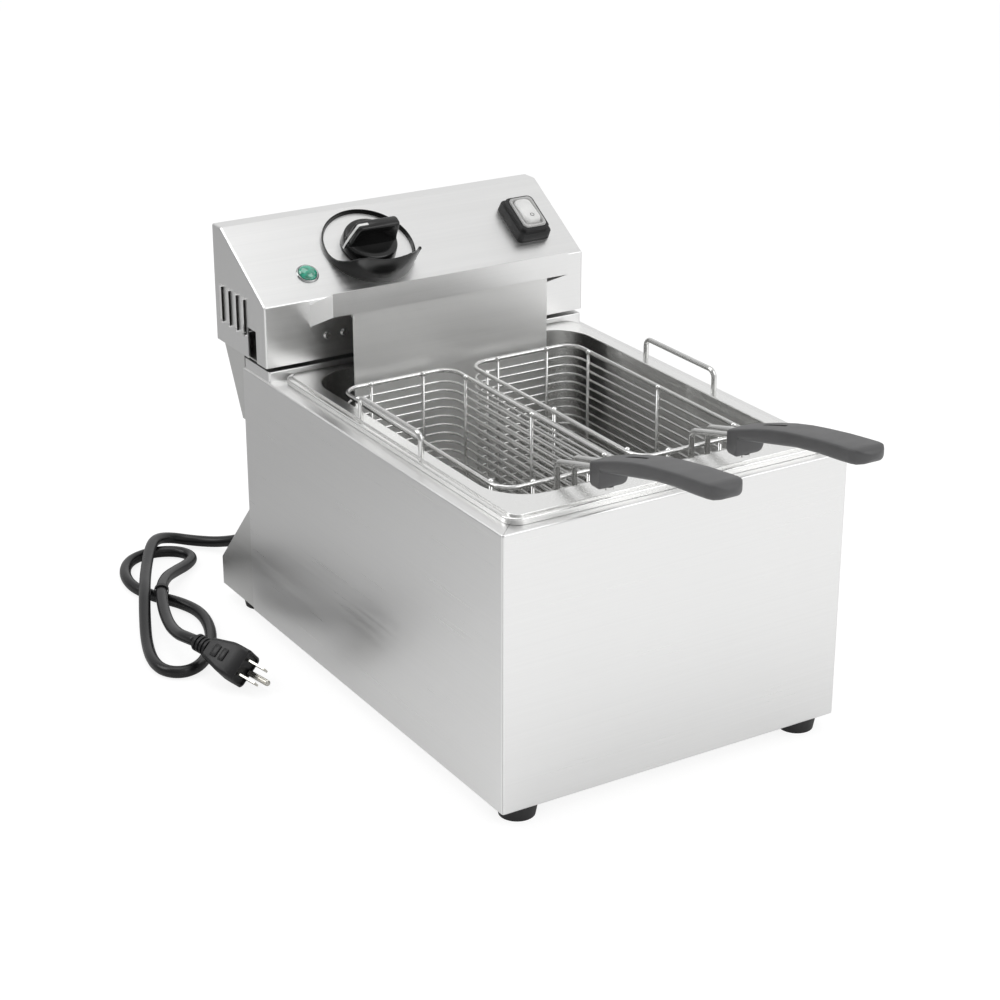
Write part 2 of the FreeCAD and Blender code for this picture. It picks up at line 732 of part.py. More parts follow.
def head_wiring():
    """Three insulated leads, from the terminals to the switch, the thermostat and the element."""
    leads = [
        [(-29, 390, 240), (-14, 388, 241), (40, 390, 244)]
        + [(92, 389, 250), (108, 390, 261), (111, 391, 273)],
        [(-43, 390, 240), (-45, 384, 243), (-46, 383, 255), (-42, 386, 271)],
        [(-57, 390, 240), (-52, 378, 239), (-38, 370, 240), (-29, 366, 241)],
    ]
    return Part.makeCompound([tube(points, 2.6) for points in leads])


# ---- baskets -------------------------------------------------------------------------------------
def basket_mesh(x):
    """Four straight walls of wire grid, four round corners and the bottom, each its own solid."""
    low = BASKET_BOTTOM + WIRE
    high = BASKET_RIM_Z - RIM_WIRE / 2
    height = high - low
    rows = spaced(WIRE / 2, height - WIRE / 2, GRID_PITCH)
    across = 2 * (BASKET_HALF - BASKET_R)
    along = BASKET_BACK - BASKET_FRONT - 2 * BASKET_R
    shapes = []
    upright = Rotation(V(1, 0, 0), 90)
    for y in (BASKET_FRONT + WIRE, BASKET_BACK):
        wall = grid(across, height, spaced(WIRE / 2, across - WIRE / 2, 34), rows, WIRE)
        wall.Placement = Placement(V(x - across / 2, y, low), upright)
        shapes.append(wall)
    for side in (x - BASKET_HALF, x + BASKET_HALF - WIRE):
        wall = grid(along, height, spaced(WIRE / 2, along - WIRE / 2, 68), rows, WIRE)
        turn = Rotation(V(0, 0, 1), 90).multiply(upright)
        wall.Placement = Placement(V(side, BASKET_FRONT + BASKET_R, low), turn)
        shapes.append(wall)
    ring = rounded(x - BASKET_HALF, x + BASKET_HALF, BASKET_FRONT, BASKET_BACK, BASKET_R, low, high)
    hollow = rounded(
        x - BASKET_HALF + WIRE,
        x + BASKET_HALF - WIRE,
        BASKET_FRONT + WIRE,
        BASKET_BACK - WIRE,
        BASKET_R - WIRE,
        low - 1,
        high + 1,
    )
    bars = [
        block(x - 100, x + 100, BASKET_FRONT + BASKET_R, BASKET_BACK - BASKET_R, 0, 300),
        block(x - across / 2, x + across / 2, 0, 400, 0, 300),
    ]
    shapes += ring.cut([hollow] + bars).Solids
    x0, x1 = x - BASKET_HALF, x + BASKET_HALF
    floor = rounded(x0, x1, BASKET_FRONT, BASKET_BACK, BASKET_R, BASKET_BOTTOM, low)
    slots = []
    edges_y = spaced(BASKET_FRONT + 7, BASKET_BACK - 7, 55)
    edges_x = spaced(x0 + 7, x1 - 7, GRID_PITCH)
    for y0, y1 in zip(edges_y, edges_y[1:]):
        for a, b in zip(edges_x, edges_x[1:]):
            slots.append(block(a + 1, b - 1, y0 + 1, y1 - 1, 0, 300))
    shapes.append(floor.cut(Part.makeCompound(slots)))
    return Part.makeCompound(shapes)


def basket_rim(x):
    """The thick top wire, as straight stretches and quarter turns that meet end to end."""
    inset = WIRE / 2
    x0, x1 = x - BASKET_HALF + inset, x + BASKET_HALF - inset
    y0, y1 = BASKET_FRONT + inset, BASKET_BACK - inset
    r = BASKET_R - inset
    z = BASKET_RIM_Z
    shapes = []
    for at in (x0, x1):
        shapes.append(rod((at, y0 + r, z), (0, 1, 0), RIM_WIRE / 2, y1 - y0 - 2 * r))
    for at in (y0, y1):
        shapes.append(rod((x0 + r, at, z), (1, 0, 0), RIM_WIRE / 2, x1 - x0 - 2 * r))
    centres = [(x1 - r, y1 - r), (x0 + r, y1 - r), (x0 + r, y0 + r), (x1 - r, y0 + r)]
    for (cx, cy), turn in zip(centres, (0, 90, 180, 270)):
        disc = Part.Face(Part.Wire(Part.makeCircle(RIM_WIRE / 2, V(r, 0, 0), V(0, 1, 0))))
        bend = disc.revolve(V(0, 0, 0), V(0, 0, 1), 90)
        bend.rotate(V(0, 0, 0), V(0, 0, 1), turn)
        bend.translate(V(cx, cy, z))
        shapes.append(bend)
    return Part.makeCompound(shapes)


def basket_bracket(x):
    """Two wires up the basket's front, bent forward over the tank's rim into the handle."""
    shapes = []
    for dx in (-BRACKET_WIRE_X, BRACKET_WIRE_X):
        at, top = x + dx, BRACKET_WIRE_Z
        points = [(at, BRACKET_Y, 128), (at, BRACKET_Y, top), (at, BRACKET_END, BRACKET_END_Z)]
        shapes.append(tube(points, BRACKET_WIRE, radius=7))
    return Part.makeCompound(shapes)


def basket_handle(x):
    """An arched plastic grip, wider at its tip, whose root block holds the bracket's wires."""
    root, tip = HANDLE_ROOT, HANDLE_TIP
    block_end = root - HANDLE_BLOCK
    upper = Part.BSplineCurve()
    high, under = 250, 245.5
    upper.interpolate([V(0, root, high), V(0, -18, 260.5), V(0, -50, 268.5), V(0, tip + 6, 279.5)])
    end = Part.Arc(V(0, tip + 6, 279.5), V(0, tip, 274), V(0, tip + 7, 268.5))
    lower = Part.BSplineCurve()
    lower.interpolate([V(0, tip + 7, 268.5), V(0, -60, 260.8), V(0, block_end, under)])
    edges = [upper.toShape(), end.toShape(), lower.toShape()]
    low = HANDLE_LOW
    corners = [V(0, block_end, under), V(0, block_end, low + 3), V(0, block_end + 3, low)]
    corners += [V(0, root - 2, low), V(0, root, low + 3), V(0, root, high)]
    for a, b in zip(corners, corners[1:]):
        edges.append(Part.LineSegment(a, b).toShape())
    side = Part.Face(Part.Wire(edges)).extrude(V(60, 0, 0))
    side.translate(V(-30, 0, 0))
    shoulder = tip + 10
    nose = Part.Arc(V(13, shoulder), V(0, tip), V(-13, shoulder)).toShape()
    left = Part.LineSegment(V(-13, shoulder), V(-12, root)).toShape()
    back = Part.LineSegment(V(-12, root), V(12, root)).toShape()
    right = Part.LineSegment(V(12, root), V(13, shoulder)).toShape()
    plan = Part.Face(Part.Wire([nose, left, back, right])).extrude(V(0, 0, 400))
    shape = side.common(plan)
    holes = [rod((0, HANDLE_SCREW_Y, 200), (0, 0, 1), 2, 45)]
    wire_run = (0, BRACKET_Y - BRACKET_END, BRACKET_WIRE_Z - BRACKET_END_Z)
    for dx in (-BRACKET_WIRE_X, BRACKET_WIRE_X):
        wire_end = (dx, BRACKET_END, BRACKET_END_Z)
        holes.append(rod(wire_end, wire_run, BRACKET_WIRE / 2 + RUNNING, 60))
    shape = shape.cut(holes)
    shape.translate(V(x, 0, 0))
    return shape


def handle_screw(x):
    low = HANDLE_LOW - 2
    shank = rod((x, HANDLE_SCREW_Y, low + 2), (0, 0, 1), 1.95, 12)
    return shank.fuse(rod((x, HANDLE_SCREW_Y, low), (0, 0, 1), 3.6, 2))


# ---- mains lead ----------------------------------------------------------------------------------
def cord_gland():
    """The moulded strain relief: a collar through the head's floor and a tapered sleeve."""
    top = HEAD_BOTTOM
    collar = rod((GLAND_X, GLAND_Y, top), (0, 0, 1), 6.9, SHEET)
    nut = rod((GLAND_X, GLAND_Y, top + SHEET), (0, 0, 1), 9, 4)
    flange = rod((GLAND_X, GLAND_Y, top - 3), (0, 0, 1), 9, 3)
    sleeve = Part.makeCone(6, 8, top - 3 - GLAND_TIP_Z, V(GLAND_X, GLAND_Y, GLAND_TIP_Z))
    return joined([collar, nut, flange, sleeve])


def power_cord():
    """The lead as one tube; its volume is compared with its section times its length."""
    path, radii = round_path(CORD_ROUTE)
    print("cord length", round(path.Length), "smallest radii", sorted(map(round, radii))[:12])
    cord = tube(CORD_ROUTE, CORD_D)
    section = math.pi * CORD_D**2 / 4
    print("cord volume over section times length", cord.Volume / (path.Length * section))
    return cord


def plug_frame():
    """The plug's own frame, rolled to lie on a corner: z towards the pins, x blade to blade."""
    start = V(*CORD_ROUTE[-1])
    axis = V(*PLUG_TIP) - start
    upright = Rotation(V(0, 0, 1), axis)
    level = upright.multVec(V(1, 0, 0))
    across = axis.cross(V(0, 0, 1))
    across.normalize()
    axis.normalize()
    spin = math.degrees(math.atan2(axis.dot(level.cross(across)), level.dot(across)))
    roll = Rotation(V(0, 0, 1), spin + 42)
    return Placement(start, upright.multiply(roll)), (V(*PLUG_TIP) - start).Length


def on_plug(shape):
    shape = shape.copy()
    shape.Placement = plug_frame()[0]
    return shape


def plug_body():
    """A ribbed neck and a wedge-shaped body that widens to the face."""
    length = plug_frame()[1]
    neck = Part.makeCone(6.5, 8.5, NECK_L, V(0, 0, 0))
    shoulder = NECK_L + 20

    def section(x, y, z):
        return Part.makePolygon([V(-x, -y, z), V(x, -y, z), V(x, y, z), V(-x, y, z), V(-x, -y, z)])

    body = Part.makeLoft([section(9, 8, NECK_L), section(13.5, 10, shoulder)], True)
    body = body.fuse(block(-13.5, 13.5, -10, 10, shoulder, length))
    corners = [e for e in body.Edges if abs(e.tangentAt(e.FirstParameter).z) > 0.7]
    body = body.makeFillet(3, corners)
    return on_plug(joined([neck, body]))


def plug_blades():
    """Two flat blades, 12.7 apart."""
    length = plug_frame()[1]
    t = 0.76
    blades = [block(x - t, x + t, -6.2, 0.15, length, length + 17.5) for x in (-6.35, 6.35)]
    return on_plug(Part.makeCompound(blades))


def plug_pin():
    length = plug_frame()[1]
    pin = rod((0, 6.9, length), (0, 0, 1), 2.4, 18.5)
    return on_plug(pin.fuse(Part.makeSphere(2.4, V(0, 6.9, length + 18.5))))


def cord_tie():
    """A band round the two strands of the lead where they lie side by side."""
    a, b, c = (V(*CORD_ROUTE[i]) for i in (TIE_AT - 1, TIE_AT, TIE_AT + 1))
    along = c - a
    along.normalize()
    centre = b * 0.75 + (a + c) * 0.125
    outer = Part.makeCylinder(CORD_D / 2 + 1.2, 4, centre - along * 2, along)
    inner = Part.makeCylinder(CORD_D / 2 + 0.3, 10, centre - along * 5, along)
    return outer.cut(inner)


# ---- the parts -----------------------------------------------------------------------------------
front_panel, side_wrap = casing_panels()
parts = {
    "casing_front": front_panel,
    "casing_wrap": side_wrap,
    "base_plate": base_plate(),
    "rear_deck": rear_deck(),
    "head_rests": head_rests(),
    "rear_bracket": rear_bracket(),
    "feet": feet(),
    "foot_screws": foot_screws(),
    "oil_tank": oil_tank(),
    "tank_handle_left": tank_handle(-1),
    "tank_handle_right": tank_handle(1),
    "head_cover": head_cover(),
    "head_floor": head_floor(),
    "side_louvers": side_louvers(),
    "head_back": head_back(),
    "back_screws": back_screws(),
    "head_hanger": head_hanger(),
    "basket_rail": basket_rail(),
    "guard_plate": guard_plate(),
    "wall_screws": wall_screws(),
    "heating_element": heating_element(),
    "element_flange": element_flange(),
    "control_sensor": sensor(-6),
    "limit_sensor": sensor(6),
    "sensor_clips": sensor_clips(),
    "knob_bezel": knob_bezel(),
    "knob": knob(),
    "thermostat_shaft": thermostat_shaft(),
    "thermostat_body": thermostat_body(),
    "limit_thermostat": limit_thermostat(),
    "reset_cap": reset_cap(),
    "terminal_block": terminal_block(),
    "head_wiring": head_wiring(),
    "lamp_ring": lamp_ring(),
    "lamp_lens": lamp_lens(),
    "lamp_body": lamp_body(),
    "switch_boot": switch_boot(),
    "switch_body": switch_body(),
    "switch_rocker": rocker(),
    "cord_gland": cord_gland(),
    "power_cord": power_cord(),
    "cord_tie": cord_tie(),
    "plug_body": plug_body(),
    "plug_blades": plug_blades(),
    "plug_ground_pin": plug_pin(),
}
for side, x in (("left", -BASKET_X), ("right", BASKET_X)):
    parts[f"basket_{side}_mesh"] = basket_mesh(x)
    parts[f"basket_{side}_rim"] = basket_rim(x)
    parts[f"basket_{side}_bracket"] = basket_bracket(x)
    parts[f"basket_{side}_handle"] = basket_handle(x)
    parts[f"basket_{side}_screw"] = handle_screw(x)

for name, shape in parts.items():
    export(name, shape)
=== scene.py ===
"""A countertop deep fryer with two baskets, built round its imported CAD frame."""

import json
import math

import bmesh
import bpy
from mathutils import Euler, Matrix, Vector


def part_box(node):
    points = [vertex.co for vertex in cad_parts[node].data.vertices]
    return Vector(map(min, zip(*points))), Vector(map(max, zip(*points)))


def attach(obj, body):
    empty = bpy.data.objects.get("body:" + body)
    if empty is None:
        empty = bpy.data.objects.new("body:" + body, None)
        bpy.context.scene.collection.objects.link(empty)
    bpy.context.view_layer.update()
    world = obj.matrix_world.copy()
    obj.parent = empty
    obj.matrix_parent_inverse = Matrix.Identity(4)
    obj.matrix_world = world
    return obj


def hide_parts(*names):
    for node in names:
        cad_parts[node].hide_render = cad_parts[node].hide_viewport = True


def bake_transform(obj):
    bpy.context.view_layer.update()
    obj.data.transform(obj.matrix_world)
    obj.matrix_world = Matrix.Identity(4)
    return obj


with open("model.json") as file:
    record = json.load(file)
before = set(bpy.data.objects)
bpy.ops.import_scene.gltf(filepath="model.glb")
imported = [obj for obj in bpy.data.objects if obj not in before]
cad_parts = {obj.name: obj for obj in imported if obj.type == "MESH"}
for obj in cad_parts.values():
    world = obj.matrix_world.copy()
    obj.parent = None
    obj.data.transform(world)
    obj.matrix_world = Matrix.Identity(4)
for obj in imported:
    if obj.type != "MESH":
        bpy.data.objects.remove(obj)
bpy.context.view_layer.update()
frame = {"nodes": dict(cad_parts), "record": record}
nodes = frame["nodes"]

MM = 0.001
FRONT_Y = -158.5 * MM  # the casing's front face; sizes below that are in mm are from there
PANEL_ANGLE = math.atan2(45, 72)  # the head's sloping panel


def at(x, y, z):
    """A point in mm, from the casing's front face and the worktop, in the row frame."""
    return Vector((x * MM, y * MM + FRONT_Y, z * MM))


# ---- camera ----------------------------------------------------------------------------------
cam_data = bpy.data.cameras.new("camera")
cam_data.lens = 84.4
cam_data.sensor_width = 36
cam = bpy.data.objects.new("camera", cam_data)
cam.location = (-0.8666, -1.3365, 0.8196)
cam.rotation_euler = Euler((math.radians(67.37), 0, math.radians(-31.51)))
bpy.context.scene.collection.objects.link(cam)
bpy.context.scene.camera = cam


# ---- mesh helpers ----------------------------------------------------------------------------
def link(obj):
    """Put an object into the scene."""
    bpy.context.scene.collection.objects.link(obj)
    return obj


def new_mesh(name, verts, faces, smooth=True):
    """An object from points and faces, with its faces turned outwards."""
    mesh = bpy.data.meshes.new(name)
    mesh.from_pydata([tuple(v) for v in verts], [], faces)
    bm = bmesh.new()
    bm.from_mesh(mesh)
    bmesh.ops.recalc_face_normals(bm, faces=bm.faces)
    bm.to_mesh(mesh)
    bm.free()
    for p in mesh.polygons:
        p.use_smooth = smooth
    return link(bpy.data.objects.new(name, mesh))


def tube_data(path, radius, sides=12, closed=False, offset=0):
    """Vertices and faces of a round tube along points, with frames carried from point to point.

    Offset is the number of vertices already in the mesh that the faces go into.
    """
    points = [Vector(p) for p in path]
    count = len(points)
    tangents = []
    for i in range(count):
        if closed:
            ahead, behind = points[(i + 1) % count], points[i - 1]
        else:
            ahead, behind = points[min(i + 1, count - 1)], points[max(i - 1, 0)]
        tangents.append((ahead - behind).normalized())
    normal = tangents[0].orthogonal().normalized()
    normals = [normal]
    for a, b in zip(tangents, tangents[1:]):
        turned = a.rotation_difference(b) @ normals[-1]
        normals.append((turned - b * turned.dot(b)).normalized())
    twist = 0.0
    if closed:
        back = tangents[-1].rotation_difference(tangents[0]) @ normals[-1]
        side = tangents[0].cross(normals[0])
        twist = math.atan2(back.dot(side), back.dot(normals[0]))
    verts = []
    for i, (p, t, n) in enumerate(zip(points, tangents, normals)):
        b = t.cross(n)
        turn = -twist * i / count
        for k in range(sides):
            a = 2 * math.pi * k / sides + turn
            verts.append(p + (n * math.cos(a) + b * math.sin(a)) * radius)
    faces = []
    for i in range(count if closed else count - 1):
        for k in range(sides):
            a, b = i * sides, (i + 1) % count * sides
            k1 = (k + 1) % sides
            faces.append([a + k + offset, a + k1 + offset, b + k1 + offset, b + k + offset])
    if not closed:
        faces.append([k + offset for k in range(sides)])
        last = (count - 1) * sides + offset
        faces.append([last + k for k in range(sides)])
    return verts, faces


def tubes(name, runs):
    """One object of many round tubes. Each run is (points, radius, closed)."""
    verts, faces = [], []
    for points, radius, closed in runs:
        v, f = tube_data(points, radius, closed=closed, offset=len(verts))
        verts += v
        faces += f
    return new_mesh(name, verts, faces)


def beads(name, points, radius):
    """Small round balls, such as weld ends and rivet heads."""
    bm = bmesh.new()
    for p in points:
        bmesh.ops.create_icosphere(bm, subdivisions=2, radius=radius, matrix=Matrix.Translation(p))
    mesh = bpy.data.meshes.new(name)
    bm.to_mesh(mesh)
    bm.free()
    for p in mesh.polygons:
        p.use_smooth = True
    return link(bpy.data.objects.new(name, mesh))


def rounded_ring(x0, x1, y0, y1, r, z, steps=7):
    """Points round a level rectangle with round corners."""
    points = []
    corners = ((x1 - r, y1 - r, 0), (x0 + r, y1 - r, 90),
               (x0 + r, y0 + r, 180), (x1 - r, y0 + r, 270))
    for cx, cy, start in corners:
        for i in range(steps + 1):
            a = math.radians(start + 90 * i / steps)
            points.append(Vector((cx + r * math.cos(a), cy + r * math.sin(a), z)))
    return points


def loft(name, rings, smooth=True, close=False):
    """A skin over rings of equal count, capped at both ends, or joined end to end."""
    n = len(rings[0])
    verts = [p for ring in rings for p in ring]
    faces = []
    for i in range(len(rings) if close else len(rings) - 1):
        a, b = i * n, (i + 1) % len(rings) * n
        for k in range(n):
            k1 = (k + 1) % n
            faces.append([a + k, a + k1, b + k1, b + k])
    if not close:
        faces.append(list(range(n)))
        faces.append([(len(rings) - 1) * n + k for k in range(n)])
    return new_mesh(name, verts, faces, smooth)


def smooth_by_angle(obj, degrees):
    """Smooth shading, with edges sharper than an angle kept crisp."""
    bm = bmesh.new()
    bm.from_mesh(obj.data)
    limit = math.radians(degrees)
    for e in bm.edges:
        e.smooth = len(e.link_faces) == 2 and e.calc_face_angle(0) < limit
    bm.to_mesh(obj.data)
    bm.free()
    return obj


def apply_modifiers(obj):
    """Make the modifiers' result the object's own mesh."""
    graph = bpy.context.evaluated_depsgraph_get()
    mesh = bpy.data.meshes.new_from_object(obj.evaluated_get(graph))
    obj.modifiers.clear()
    obj.data = mesh
    for p in mesh.polygons:
        p.use_smooth = True
    return obj


# ---- materials -------------------------------------------------------------------------------
class Nodes:
    """A short way to write a node tree."""

    def __init__(self, name):
        self.mat = bpy.data.materials.new(name)
        self.mat.use_nodes = True
        self.tree = self.mat.node_tree
        self.shader = self.tree.nodes["Principled BSDF"]
        self.coords = self.add("ShaderNodeTexCoord").outputs["Object"]

    def add(self, kind, **values):
        """A new node with its properties set."""
        node = self.tree.nodes.new(kind)
        for key, value in values.items():
            setattr(node, key, value)
        return node

    def link(self, a, b):
        """Join an output to an input."""
        self.tree.links.new(a, b)

    def set(self, **values):
        """Set inputs of the main shader. An underscore stands for a space."""
        for key, value in values.items():
            self.shader.inputs[key.replace("_", " ")].default_value = value

    def noise(self, scale, detail=3.0, rough=0.5, stretch=(1, 1, 1)):
        """A noise texture in the object's own coordinates."""
        mapping = self.add("ShaderNodeMapping")
        mapping.inputs["Scale"].default_value = stretch
        self.link(self.coords, mapping.inputs["Vector"])
        node = self.add("ShaderNodeTexNoise")
        node.inputs["Scale"].default_value = scale
        node.inputs["Detail"].default_value = detail
        node.inputs["Roughness"].default_value = rough
        self.link(mapping.outputs["Vector"], node.inputs["Vector"])
        return node.outputs["Fac"]

    def ramp(self, value, low, high, start=0.3, end=0.7):
        """Map a 0..1 texture onto two numbers or two colours."""
        node = self.add("ShaderNodeValToRGB")
        node.color_ramp.elements[0].position = start
        node.color_ramp.elements[1].position = end
        for element, v in zip(node.color_ramp.elements, (low, high)):
            element.color = (v, v, v, 1) if isinstance(v, (int, float)) else (*v, 1)
        self.link(value, node.inputs["Fac"])
        return node.outputs["Color"]

    def bump(self, height, distance, strength):
        """A normal that follows a height texture."""
        node = self.add("ShaderNodeBump")
        node.inputs["Distance"].default_value = distance
        node.inputs["Strength"].default_value = strength
        self.link(height, node.inputs["Height"])
        return node.outputs["Normal"]


def brushed_steel(name, colour, low, high, stretch=(5, 5, 900), grain=0.00002):
    """Fine parallel scratches, broad smudges and a slight tone change from streak to streak.

    Low and high are the roughness of the smoothest and the roughest streaks.
    """
    t = Nodes(name)
    streaks = t.noise(1.0, 4, 0.6, stretch)
    smudge = t.noise(9.0, 3, 0.5)
    tone = t.ramp(streaks, [c * 0.97 for c in colour], colour)
    t.link(tone, t.shader.inputs["Base Color"])
    mix = t.add("ShaderNodeMath", operation="ADD")
    mix.use_clamp = True
    t.link(t.ramp(streaks, low, high), mix.inputs[0])
    t.link(t.ramp(smudge, 0.0, 0.025), mix.inputs[1])
    t.link(mix.outputs[0], t.shader.inputs["Roughness"])
    t.link(t.bump(streaks, grain, 0.15), t.shader.inputs["Normal"])
    t.set(Metallic=1.0)
    return t.mat


def plain_metal(name, colour, rough):
    """Smooth metal with a fine speckle and slightly uneven tone."""
    t = Nodes(name)
    fine = t.noise(900, 2)
    t.link(t.ramp(t.noise(60, 3), [c * 0.9 for c in colour], colour), t.shader.inputs["Base Color"])
    t.link(t.ramp(fine, rough * 0.8, rough * 1.25), t.shader.inputs["Roughness"])
    t.link(t.bump(fine, 0.00001, 0.4), t.shader.inputs["Normal"])
    t.set(Metallic=1.0)
    return t.mat


def moulded(name, colour, rough, texture=0.00003, scale=2200, spread=0.8):
    """Moulded plastic or rubber with a fine spark-eroded grain and faint handling marks."""
    t = Nodes(name)
    grain = t.noise(scale, 2, 0.6)
    marks = t.noise(45, 4, 0.6)
    dark = [c * spread for c in colour]
    t.link(t.ramp(marks, dark, colour), t.shader.inputs["Base Color"])
    t.link(t.ramp(marks, rough * 0.85, rough * 1.15), t.shader.inputs["Roughness"])
    t.link(t.bump(grain, texture, 0.5), t.shader.inputs["Normal"])
    t.set(Metallic=0.0)
    return t.mat


STEEL = (0.86, 0.86, 0.855)
PALE_STEEL = (0.9, 0.9, 0.89)
mats = {
    "casing_steel": brushed_steel("casing_steel", STEEL, 0.26, 0.38),
    "head_steel": brushed_steel("head_steel", STEEL, 0.27, 0.38, (5, 500, 700)),
    "plate_steel": brushed_steel("plate_steel", PALE_STEEL, 0.42, 0.52),
    "bracket_steel": brushed_steel("bracket_steel", (0.8, 0.8, 0.79), 0.3, 0.42),
    "inner_steel": plain_metal("inner_steel", (0.62, 0.62, 0.61), 0.42),
    "tank_steel": brushed_steel("tank_steel", PALE_STEEL, 0.2, 0.27, (700, 700, 700), 0.000004),
    "wire_steel": plain_metal("wire_steel", (0.8, 0.8, 0.79), 0.2),
    "element_steel": plain_metal("element_steel", (0.42, 0.4, 0.37), 0.35),
    "bright_wire": plain_metal("bright_wire", (0.93, 0.93, 0.92), 0.12),
    "screw_steel": plain_metal("screw_steel", (0.75, 0.75, 0.74), 0.25),
    "lamp_chrome": plain_metal("lamp_chrome", (0.42, 0.43, 0.43), 0.1),
    "brass": plain_metal("brass", (0.78, 0.6, 0.3), 0.3),
    "rubber": moulded("rubber", (0.012, 0.012, 0.0125), 0.55),
    "cord_rubber": moulded("cord_rubber", (0.009, 0.009, 0.01), 0.3, 0.00001, 1500),
    "plug_rubber": moulded("plug_rubber", (0.008, 0.008, 0.009), 0.42, 0.00003, 1800),
    "plug_metal": plain_metal("plug_metal", (0.78, 0.76, 0.7), 0.25),
    "handle_plastic": moulded("handle_plastic", (0.1, 0.1, 0.102), 0.45, 0.00004, 1600),
    "black_gloss": moulded("black_gloss", (0.008, 0.008, 0.008), 0.2, 0.000008),
    "black_moulding": moulded("black_moulding", (0.02, 0.02, 0.021), 0.5),
    "white_moulding": moulded("white_moulding", (0.75, 0.74, 0.7), 0.4),
    "wire_insulation": moulded("wire_insulation", (0.5, 0.04, 0.03), 0.4),
    "clear_rocker": moulded("clear_rocker", (0.86, 0.86, 0.85), 0.16, 0.000006),
    "clear_frame": moulded("clear_frame", (0.55, 0.55, 0.545), 0.14, 0.000006),
    "mark_grey": moulded("mark_grey", (0.25, 0.25, 0.25), 0.5),
    "white_line": moulded("white_line", (0.85, 0.85, 0.84), 0.4, spread=0.95),
}


def green_glass():
    """A jewelled lens: facets from a cell texture, under a clear coat."""
    t = Nodes("green_lens")
    cells = t.add("ShaderNodeTexVoronoi")
    cells.inputs["Scale"].default_value = 300
    t.link(t.coords, cells.inputs["Vector"])
    tint = t.ramp(cells.outputs["Distance"], (0.0, 0.16, 0.095), (0.0, 0.4, 0.25), 0.1, 0.8)
    t.link(tint, t.shader.inputs["Base Color"])
    t.link(t.bump(cells.outputs["Distance"], 0.0001, 0.3), t.shader.inputs["Normal"])
    t.set(Roughness=0.08, Coat_Weight=1.0, Coat_IOR=1.9, Coat_Roughness=0.05)
    return t.mat


mats["green_lens"] = green_glass()


def dress(obj, material, body, replaced=()):
    """Give a piece its material and body, and hide the CAD nodes it stands for."""
    obj.data.materials.clear()
    obj.data.materials.append(mats[material])
    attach(obj, body)
    if replaced:
        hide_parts(*replaced)
    return obj


# ---- mains lead ------------------------------------------------------------------------------
CORD_D = 9.5 * MM
PLUG_TURN = 42  # degrees that the plug is turned about its own axis
ROUTE = [  # the centre line, from the head down behind the casing and round the coil to the plug
    (-75, 407, 203), (-76, 409, 163), (-77, 423, 118), (-79, 449, 76), (-83, 476, 41),
    (-91, 502, 18), (-104, 527, 8), (-121, 547, 6), (-139, 556, 10), (-156, 548, 15),
    (-171, 525, 16), (-190, 489, 15), (-207, 452, 16), (-222, 418, 10), (-236, 383, 5),
    (-245, 350, 4.8), (-243, 330, 4.8), (-230, 321, 4.8), (-213, 328, 4.8), (-196, 350, 4.8),
    (-181, 382, 4.8), (-175, 414, 4.8), (-182, 440, 4.8), (-195, 461, 4.8), (-203, 487, 4.8),
    (-199, 515, 4.8), (-186, 537, 4.8), (-168, 545, 4.8), (-150, 542, 4.8), (-137, 531, 4.8),
    (-135, 516, 4.8), (-146, 504, 5.5), (-163, 490, 9), (-180, 472, 14), (-195, 447, 16.5),
    (-207, 415, 15), (-215, 385, 15), (-219, 359, 19), (-219, 344, 22.5), (-216, 331, 23.5),
]
PLUG_TIP = at(-198, 282, 15.6)


def smooth_line(name, points):
    """Read the smooth line of a NURBS route."""
    data = bpy.data.curves.new(name, "CURVE")
    data.dimensions = "3D"
    data.resolution_u = 8
    spline = data.splines.new("NURBS")
    spline.points.add(len(points) - 1)
    for knot, point in zip(spline.points, points):
        knot.co = (*point, 1)
    spline.order_u = 3
    spline.use_endpoint_u = True
    obj = link(bpy.data.objects.new(name, data))
    graph = bpy.context.evaluated_depsgraph_get()
    mesh = bpy.data.meshes.new_from_object(obj.evaluated_get(graph))
    line = [v.co.copy() for v in mesh.vertices]
    bpy.data.objects.remove(obj)
    bpy.data.meshes.remove(mesh)
    return line


route = [at(*p) for p in ROUTE]
cord_line = smooth_line("lead_route", route)
lead = new_mesh("lead", *tube_data(cord_line, CORD_D / 2, sides=20))
lead.data.materials.append(mats["cord_rubber"])
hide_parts("power_cord")
# The blend runs straight down, so the whole coil stays with the casing and its plug.
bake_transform(lead)


# ---- plug ------------------------------------------------------------------------------------
def plug_matrix():
    """The plug's own frame, as in the CAD: z towards the pins, x from blade to blade."""
    start = route[-1]
    axis = (PLUG_TIP - start).normalized()
    across = axis.cross(Vector((0, 0, 1))).normalized()
    x_axis = (Matrix.Rotation(math.radians(PLUG_TURN), 3, axis) @ across).normalized()
    y_axis = axis.cross(x_axis)
    turn = Matrix((x_axis, y_axis, axis)).transposed().to_4x4()
    return Matrix.Translation(start) @ turn


plug_frame = plug_matrix()
plug_length = (PLUG_TIP - route[-1]).length


# ---- baskets ---------------------------------------------------------------------------------
WIRE_R = 1.0 * MM
UPRIGHT_R = 1.25 * MM
RIM_R = 1.75 * MM
GRID = 7 * MM
BASKET_CORNER_R = 15 * MM
SIDE_UPRIGHTS = (0.08, 0.485, 0.89)  # shares of the basket's length, from the front
END_UPRIGHTS = (0.27, 0.73)  # shares of the basket's width
FLOOR_BARS = (0.2, 0.5, 0.8)  # shares of the basket's length
UPRIGHT_INSET = 2.6 * MM
WELD_R = 2.3 * MM
WELD_RISE = 0.4 * MM


